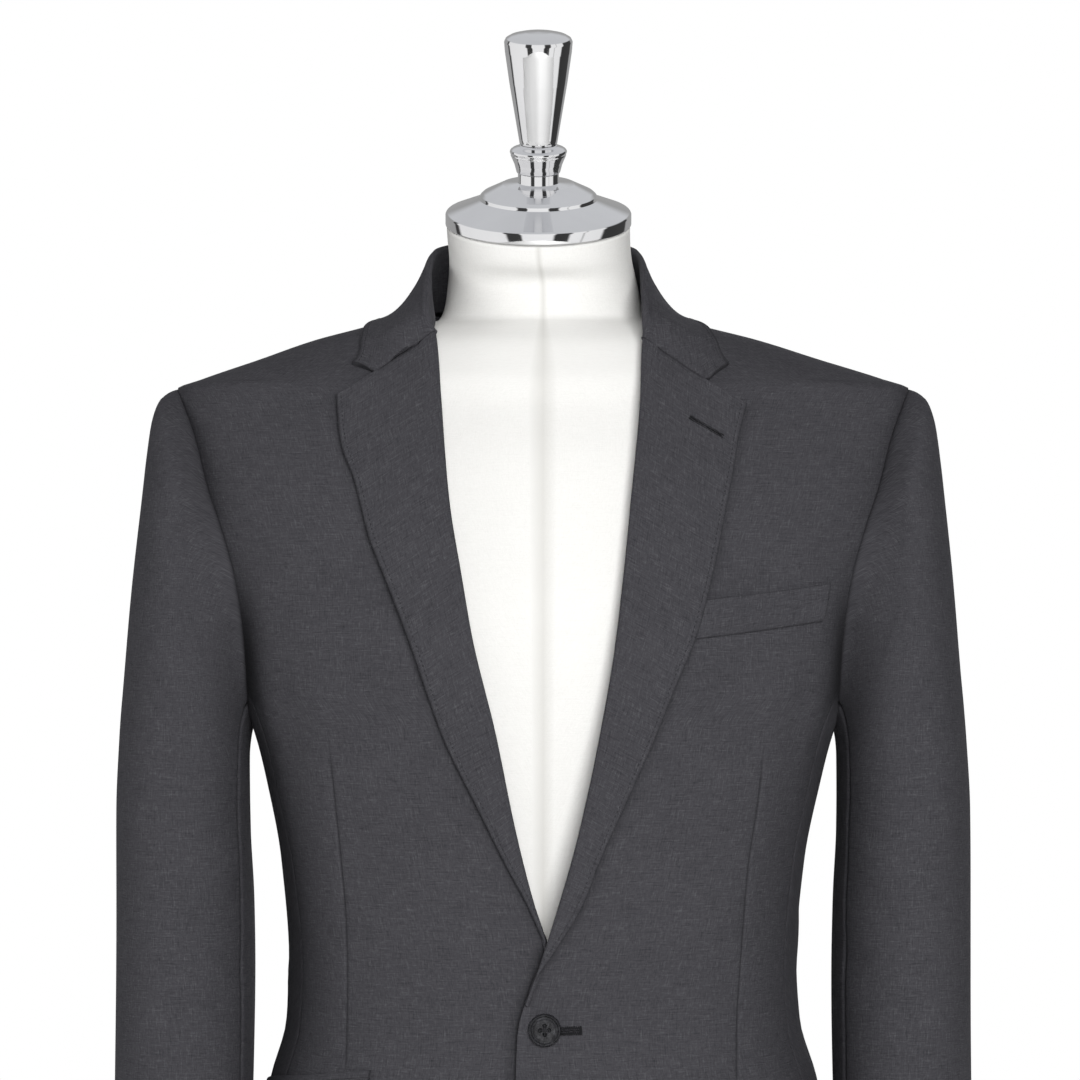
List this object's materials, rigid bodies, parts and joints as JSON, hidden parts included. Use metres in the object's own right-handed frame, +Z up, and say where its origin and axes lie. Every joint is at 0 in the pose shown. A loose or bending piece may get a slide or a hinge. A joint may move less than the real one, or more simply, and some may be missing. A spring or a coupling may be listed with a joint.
{
  "type": "suit on a dress form",
  "caption": "Single-breasted charcoal suit jacket and trousers with notch lapels, shown on a limbless dress form with a chrome neck cap, pole and round base.",
  "frame": {"origin": "centre of the overall box at the base plate's underside", "axes": "+Z up, the suit's front faces -Y, +X is the wearer's left"},
  "size_m": [0.541, 0.4, 1.6669],
  "materials": {
    "suit_cloth": "matte",
    "horn_button": "satin",
    "form_cover": "matte",
    "bright_chrome": "polished"
  },
  "bodies": {
    "root": {"front_left": "suit_cloth", "front_right": "suit_cloth", "side_left": "suit_cloth", "side_right": "suit_cloth", "back_left": "suit_cloth", "back_right": "suit_cloth", "collar": "suit_cloth", "lapel_left": "suit_cloth", "lapel_right": "suit_cloth", "sleeve_top_left": "suit_cloth", "sleeve_top_right": "suit_cloth", "sleeve_under_left": "suit_cloth", "sleeve_under_right": "suit_cloth", "breast_welt": "suit_cloth", "pocket_jet_left": "suit_cloth", "pocket_jet_right": "suit_cloth", "pocket_flap_left": "suit_cloth", "pocket_flap_right": "suit_cloth", "trouser_front_left": "suit_cloth", "trouser_front_right": "suit_cloth", "trouser_back_left": "suit_cloth", "trouser_back_right": "suit_cloth", "trouser_waistband": "suit_cloth", "trouser_fly": "suit_cloth", "front_button_upper": "horn_button", "front_button_lower": "horn_button", "cuff_button_left_1": "horn_button", "cuff_button_left_2": "horn_button", "cuff_button_left_3": "horn_button", "cuff_button_left_4": "horn_button", "cuff_button_right_1": "horn_button", "cuff_button_right_2": "horn_button", "cuff_button_right_3": "horn_button", "cuff_button_right_4": "horn_button", "form_body": "form_cover", "neck_cap": "bright_chrome", "cap_ring": "bright_chrome", "finial": "bright_chrome", "pole": "bright_chrome", "base_plate": "bright_chrome"}
  },
  "joints": []
}
